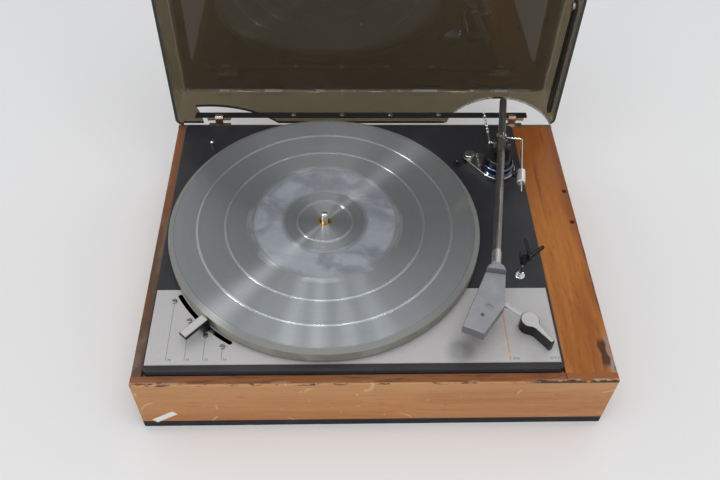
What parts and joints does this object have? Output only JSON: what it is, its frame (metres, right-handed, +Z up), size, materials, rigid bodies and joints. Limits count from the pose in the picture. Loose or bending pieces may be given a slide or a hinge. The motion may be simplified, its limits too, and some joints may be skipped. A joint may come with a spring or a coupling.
{
  "type": "turntable",
  "caption": "Idler-drive record player in a veneered plinth, with a metal platter, tone arm on a yoke, speed and switch levers and a hinged smoked cover.",
  "frame": {"origin": "centre of the plinth's underside", "axes": "+Z up, +X to the right seen from the front, +Y to the back, where the cover is hinged"},
  "size_m": [0.436, 0.4017, 0.4306],
  "materials": {
    "veneer": "open-grained veneer, satin oil finish",
    "base_board": "board stained black",
    "softwood": "bare planed softwood",
    "deck_paint": "fine textured dark grey enamel",
    "panel_metal": "finely brushed, clear lacquered",
    "platter_alloy": "turned, matte",
    "steel": "plated, dull",
    "bearing_metal": "turned, dull",
    "bright_chrome": "polished",
    "arm_metal": "satin anodised",
    "head_paint": "smooth light grey enamel",
    "arm_base_paint": "gloss dark brown enamel",
    "black_metal": "satin black enamel",
    "hinge_brass": "plated, worn bright",
    "black_plastic": "moulded, low gloss",
    "black_rubber": "matte",
    "smoked_acrylic": "polished, finely scratched"
  },
  "bodies": {
    "plinth": {"plinth_front_board": "veneer", "plinth_rear_board": "veneer", "plinth_left_board": "veneer", "plinth_right_board": "veneer", "plinth_side_ledge": "veneer", "plinth_base_board": "base_board", "plinth_corner_blocks": "softwood", "deck_support_rails": "softwood", "base_screws": "steel", "cord_grommets": "black_rubber", "deck_plate": "deck_paint", "control_panel": "panel_metal", "speed_stop_screws": "bright_chrome", "deck_studs": "steel", "rubber_bushes": "black_rubber", "deck_pin": "bright_chrome", "main_bearing_housing": "bearing_metal", "thrust_ball": "steel", "speed_lever_ring": "steel", "idler_guide": "steel", "motor_body": "black_metal", "motor_hanger": "steel", "switch_bush": "bearing_metal", "switch_box": "black_plastic", "arm_rest_post": "bright_chrome", "arm_base_plate": "arm_base_paint", "arm_base_cap": "bright_chrome", "arm_collar": "bright_chrome", "bias_post": "black_metal", "lid_hinge_brackets": "hinge_brass", "lid_hinge_pins": "hinge_brass"},
    "platter": {"platter": "platter_alloy", "platter_spindle": "steel"},
    "idler_carriage": {"idler_carriage": "steel"},
    "idler": {"idler_wheel": "steel", "idler_tyre": "black_rubber"},
    "rotor": {"drive_shaft": "steel"},
    "speed_lever": {"speed_lever_arm": "steel", "speed_knob": "black_plastic", "speed_knob_cap": "panel_metal"},
    "switch_lever": {"switch_lever": "black_plastic", "switch_lever_cap": "panel_metal"},
    "arm_cradle": {"arm_rest_cradle": "black_plastic"},
    "arm_yoke": {"arm_yoke": "black_metal", "notched_rod": "bright_chrome"},
    "tonearm": {"arm_tube": "arm_metal", "arm_pivot_block": "arm_metal", "weight_rail": "bright_chrome", "headshell": "head_paint", "cartridge": "black_plastic", "stylus": "steel", "finger_lift": "bright_chrome"},
    "force_weight": {"force_weight": "arm_metal", "weight_thumb_screw": "black_plastic"},
    "lid": {"lid_shell": "smoked_acrylic", "lid_hinge_strip": "black_metal", "lid_hinge_knuckles": "hinge_brass", "lid_hinge_rivets": "steel", "lid_stay_screw": "steel"},
    "lid_stay": {"lid_stay": "black_metal"}
  },
  "joints": [
    {"name": "platter_spin", "type": "hinge", "parent": "plinth", "child": "platter", "pos_m": [-0.0466, 0.001, 0.09], "axis": [0, 0, 1], "continuous": true},
    {"name": "speed_lever_turn", "type": "hinge", "parent": "plinth", "child": "speed_lever", "pos_m": [-0.0466, 0.001, 0.0755], "axis": [0, 0, 1], "range_deg": [-15.5, 9.2]},
    {"name": "idler_slide", "type": "slide", "parent": "plinth", "child": "idler_carriage", "axis": [-1, 0, 0], "range_m": [-0.0303, 0.0181]},
    {"name": "idler_spin", "type": "hinge", "parent": "idler_carriage", "child": "idler", "pos_m": [-0.1547, 0.001, 0.0692], "axis": [1, 0, 0], "continuous": true},
    {"name": "motor_spin", "type": "hinge", "parent": "plinth", "child": "rotor", "pos_m": [-0.1151, 0.001, 0.03782], "axis": [0.9941, 0, -0.1084], "continuous": true},
    {"name": "switch_lever_turn", "type": "hinge", "parent": "plinth", "child": "switch_lever", "pos_m": [0.1422, -0.1187, 0.085], "axis": [0, 0, 1], "range_deg": [-58, 0]},
    {"name": "rest_swivel", "type": "hinge", "parent": "plinth", "child": "arm_cradle", "pos_m": [0.1442, -0.0583, 0.105], "axis": [0, 0, 1], "range_deg": [-45, 45]},
    {"name": "arm_swing", "type": "hinge", "parent": "plinth", "child": "arm_yoke", "pos_m": [0.141, 0.0885, 0.1], "axis": [0, 0, 1], "range_deg": [-36, 9]},
    {"name": "arm_lift", "type": "hinge", "parent": "arm_yoke", "child": "tonearm", "pos_m": [0.141, 0.0885, 0.118], "axis": [-0.986, 0.1668, 0], "range_deg": [0, 12]},
    {"name": "force_weight_slide", "type": "slide", "parent": "tonearm", "child": "force_weight", "axis": [0.1668, 0.986, 0], "range_m": [-0.01, 0.03]},
    {"name": "lid_hinge", "type": "hinge", "parent": "plinth", "child": "lid", "pos_m": [0, 0.1715, 0.086], "axis": [-1, 0, 0], "range_deg": [-91, 0]},
    {"name": "lid_stay_swing", "type": "hinge", "parent": "lid", "child": "lid_stay", "pos_m": [0.213, 0.17764, 0.23142], "axis": [-1, 0, 0], "range_deg": [-13, 45]}
  ],
  "couplings": [
    {"joint": "platter_spin", "follows": "motor_spin", "ratio": -0.043536},
    {"joint": "idler_spin", "follows": "motor_spin", "ratio": -0.21392},
    {"joint": "idler_slide", "follows": "speed_lever_turn", "m_per_rad": 0.1113}
  ]
}
